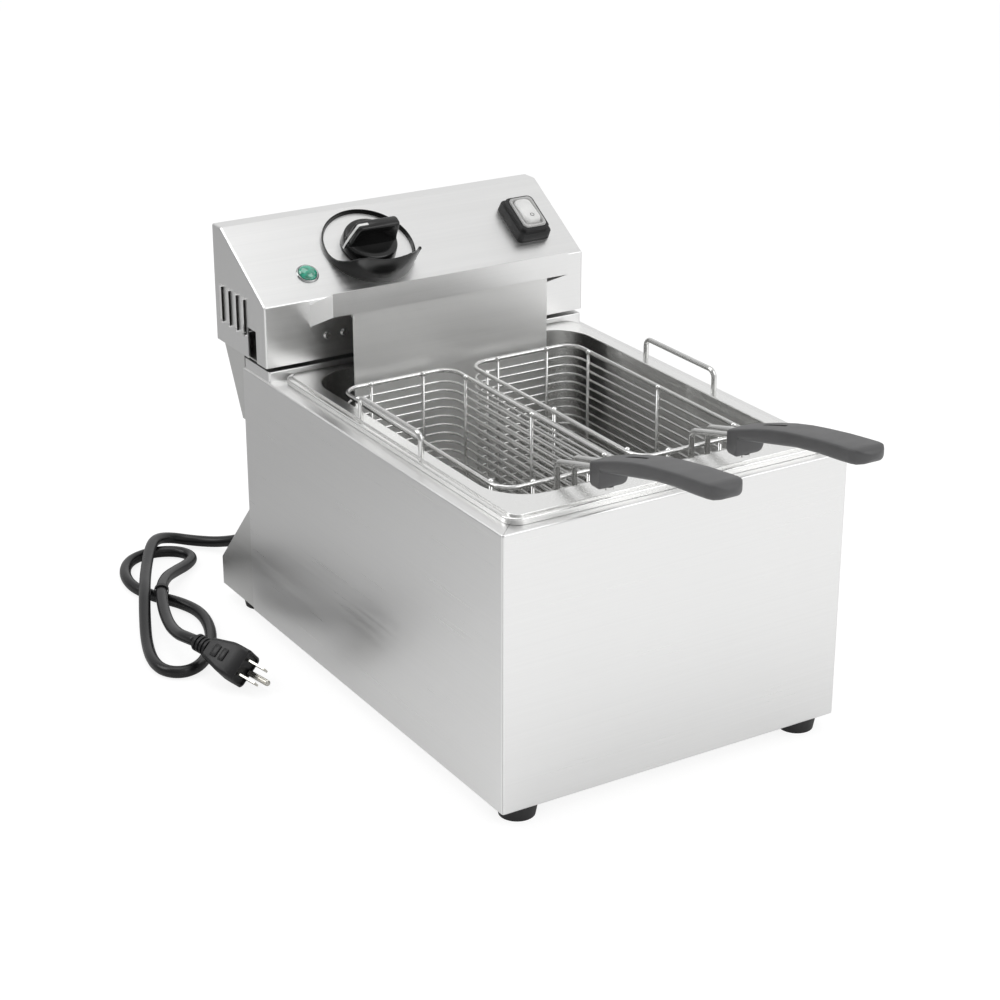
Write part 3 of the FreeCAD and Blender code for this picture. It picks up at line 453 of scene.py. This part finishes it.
def basket(side):
    """Wires round the basket, the uprights, the bottom's grid, the rim and the weld ends on it."""
    lo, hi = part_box(f"basket_{side}_mesh")
    rim_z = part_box(f"basket_{side}_rim")[0].z + RIM_R
    r = BASKET_CORNER_R
    floor_z = lo.z + WIRE_R
    runs = []
    count = round((hi.z - lo.z) / GRID)
    for i in range(count):
        z = floor_z + GRID * i
        if z > rim_z - 3 * MM:
            break
        ring = rounded_ring(lo.x + WIRE_R, hi.x - WIRE_R, lo.y + WIRE_R, hi.y - WIRE_R, r, z)
        runs.append((ring, WIRE_R, True))
    feet = []
    for fraction in SIDE_UPRIGHTS:
        y = lo.y + (hi.y - lo.y) * fraction
        feet += [(lo.x + UPRIGHT_INSET, y), (hi.x - UPRIGHT_INSET, y)]
    for fraction in END_UPRIGHTS:
        x = lo.x + (hi.x - lo.x) * fraction
        feet += [(x, lo.y + UPRIGHT_INSET), (x, hi.y - UPRIGHT_INSET)]
    for x, y in feet:
        runs.append(([(x, y, floor_z), (x, y, rim_z)], UPRIGHT_R, False))
    cells = round((hi.x - lo.x) / GRID)
    for i in range(1, cells):
        x = lo.x + (hi.x - lo.x) * i / cells
        runs.append(([(x, lo.y + WIRE_R, floor_z), (x, hi.y - WIRE_R, floor_z)], WIRE_R, False))
    for fraction in FLOOR_BARS:
        y = lo.y + (hi.y - lo.y) * fraction
        z = lo.z + UPRIGHT_INSET
        runs.append(([(lo.x + WIRE_R, y, z), (hi.x - WIRE_R, y, z)], UPRIGHT_R, False))
    wires = tubes(f"basket_{side}_wires", runs)
    dress(wires, "wire_steel", f"basket_{side}", replaced=[f"basket_{side}_mesh"])
    lo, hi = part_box(f"basket_{side}_rim")
    ring = rounded_ring(lo.x + RIM_R, hi.x - RIM_R, lo.y + RIM_R, hi.y - RIM_R, r, rim_z, 10)
    rim = tubes(f"basket_{side}_top", [(ring, RIM_R, True)])
    dress(rim, "wire_steel", f"basket_{side}", replaced=[f"basket_{side}_rim"])
    tops = [Vector((x, y, rim_z + WELD_RISE)) for x, y in feet]
    ends = beads(f"basket_{side}_ends", tops, WELD_R)
    dress(ends, "bright_wire", f"basket_{side}")


for side in ("left", "right"):
    basket(side)


# ---- basket handles --------------------------------------------------------------------------
CROWN = 0.6  # sizes of the handle's section, in mm
TOP_EDGE_R = 1.6
LOW_EDGE_R = 3.6
HANDLE_STATIONS = range(-125, 8, 5)
SLOT_ENDS = ((-15, 258.5), (-36, 264.5))
SLOT_R = 1.7 * MM
SLOT_SIDES = 24


def between(stations, t):
    """The value at t on the broken line through stations of (t, value)."""
    for a, b in zip(stations, stations[1:]):
        if t <= b[0]:
            break
    f = min(max((t - a[0]) / (b[0] - a[0]), 0), 1)
    return a[1] + (b[1] - a[1]) * f


def handle_section(half, low, high, y):
    """A section across the handle: a crowned top with a fairly crisp edge, a softer underside."""
    r_low = min(LOW_EDGE_R, (high - low) * 0.4, half * 0.5)
    r_top = min(TOP_EDGE_R, half * 0.4)
    ring = []
    corners = ((half - r_top, high - r_top, r_top, 0), (-half + r_top, high - r_top, r_top, 90),
               (-half + r_low, low + r_low, r_low, 180), (half - r_low, low + r_low, r_low, 270))
    for index, (cx, cz, r, start) in enumerate(corners):
        for i in range(6):
            a = math.radians(start + 90 * i / 5)
            x, z = cx + r * math.cos(a), cz + r * math.sin(a)
            if index < 2:
                z += CROWN * (1 - (x / half) ** 2)
            ring.append((x, y, z))
        if index == 0:
            for k in range(1, 6):
                x = cx - 2 * cx * k / 6
                ring.append((x, y, high + CROWN * (1 - (x / half) ** 2)))
    return ring


def basket_handle(side):
    """The grip as one loft from its root block to its rounded tip, with a slot let into its top."""
    lo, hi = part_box(f"basket_{side}_handle")
    centre = (lo.x + hi.x) / 2
    root, tip = (hi.y - FRONT_Y) / MM, (lo.y - FRONT_Y) / MM
    top = [
        (tip, 275.5), (tip + 1, 277), (tip + 3, 278.6), (tip + 7, 279.4), (-105, 277.6),
        (-88, 275.4), (-66, 271.8), (-50, 268.8), (-34, 265), (-18, 260.3), (-4, 255.6),
        (root - 0.8, 249.9), (root, 249),
    ]
    under = [
        (tip, 273.5), (tip + 1, 271.6), (tip + 3, 269.8), (tip + 7, 268.6), (-105, 266.6),
        (-82, 264.2), (-60, 260.6), (-35, 254.4), (-10, 248.2), (0.8, 245.6), (1.2, 236.5),
        (2.2, 233.6), (4, 232.3), (root - 2, 232.3), (root, 234),
    ]
    wide = [
        (tip, 2), (tip + 1, 6.2), (tip + 3, 9.6), (tip + 6, 11.8), (tip + 11, 12.9),
        (-60, 12.6), (-10, 11.9), (root - 1, 11.8), (root, 11),
    ]
    shaped = {round(station[0], 3) for station in top + under + wide}
    rings = []
    for y in sorted(shaped | {float(station) for station in HANDLE_STATIONS}):
        ring = handle_section(between(wide, y), between(under, y), between(top, y), y)
        rings.append([at(x, yy, z) + Vector((centre, 0, 0)) for x, yy, z in ring])
    handle = loft(f"basket_{side}_grip", rings)
    ends = [at(0, y, z) for y, z in SLOT_ENDS]
    slot_ring = []
    along = (ends[1] - ends[0]).normalized()
    up = Vector((1, 0, 0)).cross(along) * -1
    for i in range(SLOT_SIDES):
        a = 2 * math.pi * i / SLOT_SIDES
        end = ends[1] if math.cos(a) > 0 else ends[0]
        across = Vector((SLOT_R * math.sin(a) + centre, 0, 0))
        slot_ring.append(end + along * SLOT_R * math.cos(a) + across)
    foot = [p - up * 0.2 * MM for p in slot_ring]
    lid = [p + up * 12 * MM for p in slot_ring]
    cutter = loft("slot_cutter", [foot, lid])
    cut = handle.modifiers.new("slot", "BOOLEAN")
    cut.operation = "DIFFERENCE"
    cut.object = cutter
    apply_modifiers(handle)
    bpy.data.objects.remove(cutter)
    smooth_by_angle(handle, 38)
    dress(handle, "handle_plastic", f"basket_{side}", replaced=[f"basket_{side}_handle"])


for side in ("left", "right"):
    basket_handle(side)


# ---- controls --------------------------------------------------------------------------------
PANEL = Matrix.Translation(at(0, 341, 277)) @ Matrix.Rotation(PANEL_ANGLE, 4, "X")
# The controls' centres, in mm along and up the panel from the middle of its lower edge.
KNOB_AT = Vector((-34, 42, 0))
LAMP_AT = Vector((-94.5, 25.5, 0))
SWITCH_AT = Vector((107, 39.5, 0))
ROCKER_AXIS_N = 6  # mm above the panel
ROCKER_TILT = -8  # degrees from level, at rest


def on_panel(rings, centre):
    """Rings in mm, in the panel's frame round a centre, taken to the row frame."""
    return [[PANEL @ ((Vector(p) + centre) * MM) for p in ring] for ring in rings]


def turned(profile, steps=48):
    """Rings of a turned shape from (radius, height) pairs."""
    rings = []
    for r, z in profile:
        angles = [2 * math.pi * k / steps for k in range(steps)]
        rings.append([(r * math.cos(a), r * math.sin(a), z) for a in angles])
    return rings


def rectangles(profile, r, steps=6):
    """Rings of round-cornered rectangles from (half width, half length, height) triples."""
    return [rounded_ring(-w, w, -h, h, min(r, w * 0.9), z, steps) for w, h, z in profile]


def knob():
    """A dished base, a tapered bar across it, and a white line down the bar's end and top."""
    base = [(21.6, 0.7), (22.3, 1.1), (21.6, 8.2), (21.0, 9.6), (19.8, 10.4), (15, 9.7), (6, 9.5)]
    disc = loft("knob_base", on_panel(turned(base, 64), KNOB_AT))
    smooth_by_angle(disc, 50)
    rings = []
    for n, left, right, half in (
        (6, -21, 20.5, 6.4), (10, -20.8, 20.3, 6.1), (14, -19.8, 20.1, 5.2), (20, -17.8, 20, 4.9),
        (24.6, -16.2, 19.9, 4.8), (26.4, -15.3, 19.4, 4.3), (27, -14.6, 18.8, 3.6),
    ):
        ring = rounded_ring(left, right, -half, half, min(2.4, half * 0.6), n, 4)
        rings.append([tuple(p) for p in ring])
    bar = loft("knob_grip", on_panel(rings, KNOB_AT))
    smooth_by_angle(bar, 40)
    path = [(-22.6, 4), (-22.0, 8), (-21.1, 10.8), (-20.1, 14.2), (-18.0, 20.2), (-16.4, 24.8),
            (-15.3, 26.7), (-14.2, 27.1), (-7, 27.1)]
    strip = []
    for x, n in path:
        under, over = n - 0.6, n + 0.25
        strip.append([(x - 0.2, y, z) for y, z in ((-1, under), (1, under), (1, over), (-1, over))])
    line = loft("knob_pointer", on_panel(strip, KNOB_AT), smooth=False)
    dress(disc, "black_gloss", "knob", replaced=["knob"])
    dress(bar, "black_gloss", "knob")
    dress(line, "white_line", "knob")


def bezel():
    """A thin ring whose lower half rises into a flared, wavy guard that ends in a horn.

    Heights gives the wall's height by degrees round the ring, and grown how far it flares.
    """
    heights = [
        (0, 3.2), (184, 3.2), (192, 4.2), (200, 6), (208, 9.5), (216, 14), (226, 20.5),
        (236, 25), (245, 25.6), (256, 25.8), (268, 26.6), (280, 27), (292, 26.2), (303, 23.6),
        (312, 20.4), (317, 19), (320, 19.6), (321.5, 18), (324, 3.2), (360, 3.2),
    ]
    grown = [(0, 0), (188, 0), (214, 1), (312, 1), (319, 1.9), (323, 0.6), (326, 0), (360, 0)]
    rings = []
    for degrees in range(360):
        a = math.radians(degrees)
        h = between(heights, degrees)
        g = between(grown, degrees)
        rim = 37.9 + 0.9 * g
        inside = rim - 1.5 - 0.6 * min(g, 1)
        section = [
            (37.6, 0), (37.8, h * 0.4), (rim - 0.1, h - 0.7), (rim - 0.5, h), (inside + 0.4, h),
            (inside, h - 0.5), (36.2 - 0.8 * min(g, 1), h * 0.4), (35.6, 0),
        ]
        rings.append([(r * math.cos(a), r * math.sin(a), z) for r, z in section])
    guard = loft("knob_guard", on_panel(rings, KNOB_AT), close=True)
    smooth_by_angle(guard, 50)
    dress(guard, "black_gloss", "head", replaced=["knob_bezel"])


def lamp():
    """A chrome ring with a domed lens in it."""
    edge = [(9.0, 0), (9.0, 0.6), (8.6, 1.3), (8.0, 1.6), (7.5, 1.4), (7.3, 0.8), (7.2, 0.2)]
    ring = loft("lamp_bezel", on_panel(turned(edge), LAMP_AT))
    smooth_by_angle(ring, 60)
    dress(ring, "lamp_chrome", "head", replaced=["lamp_ring"])
    radius, foot, rise = 7.3, 1.4, 3.6
    dome = [(radius, 0.4), (radius, foot)]
    for degrees in range(8, 90, 8):
        a = math.radians(degrees)
        dome.append((radius * math.cos(a), foot + rise * math.sin(a)))
    lens = loft("lamp_dome", on_panel(turned(dome + [(0.1, 5.0)]), LAMP_AT))
    smooth_by_angle(lens, 60)
    dress(lens, "green_lens", "head", replaced=["lamp_lens"])


def switch():
    """A ribbed rubber boot, a clear frame on top of it, and the rocker with its round mark."""
    outside = [
        (15, 20.5, 0), (15, 20.5, 1.2), (14.6, 20.1, 1.7), (15, 20.4, 2.3), (14.8, 20.2, 7.2),
        (14.2, 19.6, 8), (12.8, 18.3, 8.2), (12.5, 18.0, 8.8), (12.7, 18.2, 11.4),
        (12.2, 17.7, 12.1), (11.2, 16.7, 12.3),
    ]
    inside = [(10.2, 15.7, 12.1), (9.8, 15.2, 11.4), (9.6, 15.0, 4), (9.2, 14.6, 2)]
    boot = loft("switch_cover", on_panel(rectangles(outside + inside, 4.5), SWITCH_AT))
    smooth_by_angle(boot, 35)
    dress(boot, "rubber", "head", replaced=["switch_boot"])
    surround = [(10.3, 15.8, 11.4), (10.3, 15.8, 13.2), (9.9, 15.4, 13.8), (8.6, 14.0, 13.6),
                (8.0, 13.4, 12.6), (7.9, 13.2, 9)]
    window = loft("switch_window", on_panel(rectangles(surround, 3.6), SWITCH_AT))
    smooth_by_angle(window, 40)
    dress(window, "clear_frame", "head")
    rings = []
    for z, inset in ((6.4, 0.3), (13.0, 0), (14.6, 0.5), (15.4, 1.5), (15.7, 3.0)):
        ring = []
        w, h = 7.5 - inset, 12.6 - inset
        for x, y, _ in rounded_ring(-w, w, -h, h, 4.2, 0, 5):
            lift = 0 if z < 7 else 0.07 * y
            ring.append((x, y, z + lift))
        rings.append(ring)
    turn = Matrix.Rotation(math.radians(ROCKER_TILT), 4, "X")
    axis = Matrix.Translation((0, 0, ROCKER_AXIS_N))
    tilt = axis @ turn @ axis.inverted()
    rings = [[tilt @ Vector(p) for p in ring] for ring in rings]
    key = loft("switch_key", on_panel(rings, SWITCH_AT))
    smooth_by_angle(key, 40)
    dress(key, "clear_rocker", "rocker", replaced=["switch_rocker"])
    angles = [2 * math.pi * k / 24 for k in range(24)]
    circle = [tilt @ Vector((1.5 * math.cos(a), -7.4 + 1.5 * math.sin(a), 15.25)) for a in angles]
    mark = tubes("switch_mark", [(on_panel([circle], SWITCH_AT)[0], 0.3 * MM, True)])
    dress(mark, "mark_grey", "rocker")


knob()
bezel()
lamp()
switch()


# ---- plug and strain relief ------------------------------------------------------------------
def on_plug(rings):
    """Rings in mm, in the plug's frame, taken to the row frame."""
    return [[plug_frame @ (Vector(p) * MM) for p in ring] for ring in rings]


def plug():
    """A ribbed neck and a wedge body with raised panels and a recessed face."""
    length = plug_length / MM
    ribs = [(5.3, 0), (6.3, 0.4)]
    for i in range(4):
        z = 1.4 + 3.6 * i
        ribs += [(7.0, z), (7.0, z + 2.0), (5.9, z + 2.3), (5.9, z + 3.3)]
    ribs += [(7.4, 16), (7.4, 17)]
    neck = loft("plug_neck", on_plug(turned(ribs, 32)))
    smooth_by_angle(neck, 40)
    body = [
        (8.0, 7.0, 15.6), (8.8, 7.8, 16.4), (9.6, 8.3, 20), (12.8, 9.8, 34), (13.3, 10, 37),
        (13.5, 10, 42), (13.5, 10, length - 1), (12.8, 9.3, length), (11.6, 8.1, length),
        (11.4, 7.9, length - 1.6),
    ]
    shell = loft("plug_shell", on_plug(rectangles(body, 3.2)))
    smooth_by_angle(shell, 35)
    pieces = [dress(neck, "plug_rubber", "casing", replaced=["plug_body"])]
    pieces.append(dress(shell, "plug_rubber", "casing"))
    slope = 0.107  # of the wedge's broad faces, from 20 mm along it
    pads = [(sign, z, half) for sign in (-1, 1) for z, half in ((26, 3.2), (34.5, 2.6))]
    for index, (sign, z, half) in enumerate(pads):
        lift = 8.3 + (z - 20) * slope
        rings = []
        for grow, rise in ((0, -0.6), (0, 0.45), (-0.5, 0.8)):
            w, h = 5.2 + grow, half + grow
            ring = []
            for x, y, _ in rounded_ring(-w, w, -h, h, 1.0, 0, 3):
                ring.append((x, sign * (lift + rise + y * slope), z + y))
            rings.append(ring)
        pad = loft(f"plug_panel_{index}", on_plug(rings))
        smooth_by_angle(pad, 40)
        pieces.append(dress(pad, "plug_rubber", "casing"))
    return pieces


def strain_relief():
    """A ribbed, tapered sleeve where the lead leaves the head, with a groove for the sheet."""
    lo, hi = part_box("cord_gland")
    cx, cy = (lo.x + hi.x) / 2, (lo.y + hi.y) / 2
    height = (hi.z - lo.z) / MM
    profile = [(5.2, 0), (6.0, 0.4)]
    for i in range(5):
        z = 1.5 + 3.6 * i
        r = 6.2 + 0.35 * i
        profile += [(r + 0.6, z), (r + 0.6, z + 2.1), (r - 0.5, z + 2.4), (r - 0.5, z + 3.3)]
    profile += [(8.4, 20), (9, 22.2), (9, 25.2), (6.9, 25.7), (6.9, 26.7), (9, 26.7), (9, height)]
    foot = Vector((cx, cy, lo.z))
    rings = [[foot + Vector(p) * MM for p in ring] for ring in turned(profile, 32)]
    sleeve = loft("lead_sleeve", rings)
    smooth_by_angle(sleeve, 40)
    return dress(sleeve, "cord_rubber", "head", replaced=["cord_gland"])


cord_pieces = plug() + [strain_relief()]
cord_pieces += [nodes[name] for name in ("plug_blades", "plug_ground_pin", "cord_tie")]


# ---- CAD nodes that keep their shape ---------------------------------------------------------
slot_of = {s["node"]: s["material_slot"] for s in frame["record"]["subparts"]}
for name, obj in nodes.items():
    obj.data.materials.clear()
    obj.data.materials.append(mats[slot_of[name]])


# ---- floor and light -------------------------------------------------------------------------
SHADE_FROM_Y, SHADE_TO_Y = -0.35, 0.5  # in metres, from the front of the fryer to behind it
SKY_FROM_X, SKY_TO_X = -0.7, 0.5  # X of the unit vector towards the sky, left and right
SKY_LEFT, SKY_RIGHT = 0.32, 0.84  # the sky's strength at each


def white_floor():
    """White to the camera with a faint contact shadow. In reflections the floor glows with painted
    light that fades to painted shade towards the back.
    """
    floor = new_mesh("floor", [(-6, -6, 0), (6, -6, 0), (6, 6, 0), (-6, 6, 0)], [[0, 1, 2, 3]])
    t = Nodes("floor_white")
    t.set(Roughness=0.9, Specular_IOR_Level=0.0)
    split = t.add("ShaderNodeSeparateXYZ")
    t.link(t.coords, split.inputs[0])
    # Painted light and shade: in reflections only, the floor's colour and glow fall from the front
    # of the fryer to behind it.
    for end, near, far in (("Base Color", 0.74, 0.38), ("Emission Strength", 0.32, 0.07)):
        spread = t.add("ShaderNodeMapRange")
        t.link(split.outputs["Y"], spread.inputs["Value"])
        spread.inputs["From Min"].default_value = SHADE_FROM_Y
        spread.inputs["From Max"].default_value = SHADE_TO_Y
        spread.inputs["To Min"].default_value = near
        spread.inputs["To Max"].default_value = far
        t.link(spread.outputs[0], t.shader.inputs[end])
    t.set(Emission_Color=(1, 1, 1, 1))
    lit = t.add("ShaderNodeBsdfDiffuse")
    lit.inputs["Color"].default_value = (0.25, 0.25, 0.25, 1)
    glow = t.add("ShaderNodeEmission")
    glow.inputs["Strength"].default_value = 0.84
    both = t.add("ShaderNodeAddShader")
    t.link(lit.outputs[0], both.inputs[0])
    t.link(glow.outputs[0], both.inputs[1])
    path = t.add("ShaderNodeLightPath")
    mix = t.add("ShaderNodeMixShader")
    t.link(path.outputs["Is Camera Ray"], mix.inputs[0])
    t.link(t.shader.outputs[0], mix.inputs[1])
    t.link(both.outputs[0], mix.inputs[2])
    t.link(mix.outputs[0], t.tree.nodes["Material Output"].inputs["Surface"])
    floor.data.materials.append(t.mat)


def studio():
    """An even sky, darker to the left, so that the upright faces differ. The camera sees white."""
    world = bpy.data.worlds.new("studio")
    bpy.context.scene.world = world
    world.use_nodes = True
    tree = world.node_tree
    back = tree.nodes["Background"]
    coords = tree.nodes.new("ShaderNodeTexCoord")
    split = tree.nodes.new("ShaderNodeSeparateXYZ")
    ramp = tree.nodes.new("ShaderNodeMapRange")
    path = tree.nodes.new("ShaderNodeLightPath")
    seen = tree.nodes.new("ShaderNodeMath")
    seen.operation = "MAXIMUM"
    tree.links.new(coords.outputs["Generated"], split.inputs[0])
    tree.links.new(split.outputs["X"], ramp.inputs["Value"])
    ramp.inputs["From Min"].default_value = SKY_FROM_X
    ramp.inputs["From Max"].default_value = SKY_TO_X
    ramp.inputs["To Min"].default_value = SKY_LEFT
    ramp.inputs["To Max"].default_value = SKY_RIGHT
    tree.links.new(ramp.outputs[0], seen.inputs[0])
    tree.links.new(path.outputs["Is Camera Ray"], seen.inputs[1])
    tree.links.new(seen.outputs[0], back.inputs["Strength"])
    back.inputs["Color"].default_value = (1, 1, 1, 1)


def area(name, location, target, size, power):
    """A square area light, turned towards a point. Lengths are in metres, power in watts."""
    data = bpy.data.lights.new(name, "AREA")
    data.shape = "RECTANGLE"
    data.size, data.size_y = size, size
    data.energy = power
    light = link(bpy.data.objects.new(name, data))
    light.location = location
    light.rotation_euler = (Vector(target) - Vector(location)).to_track_quat("-Z", "Y").to_euler()


white_floor()
studio()
area("key", (0.9, -1.6, 1.9), (0, 0, 0.1), 1.6, 12)
area("top", (-0.3, 0.5, 2.2), (0, 0, 0.1), 1.4, 8)
area("rim", (-1.3, 0.9, 1.4), (0, 0, 0.2), 1.0, 8)
bpy.context.scene.view_settings.view_transform = "Standard"
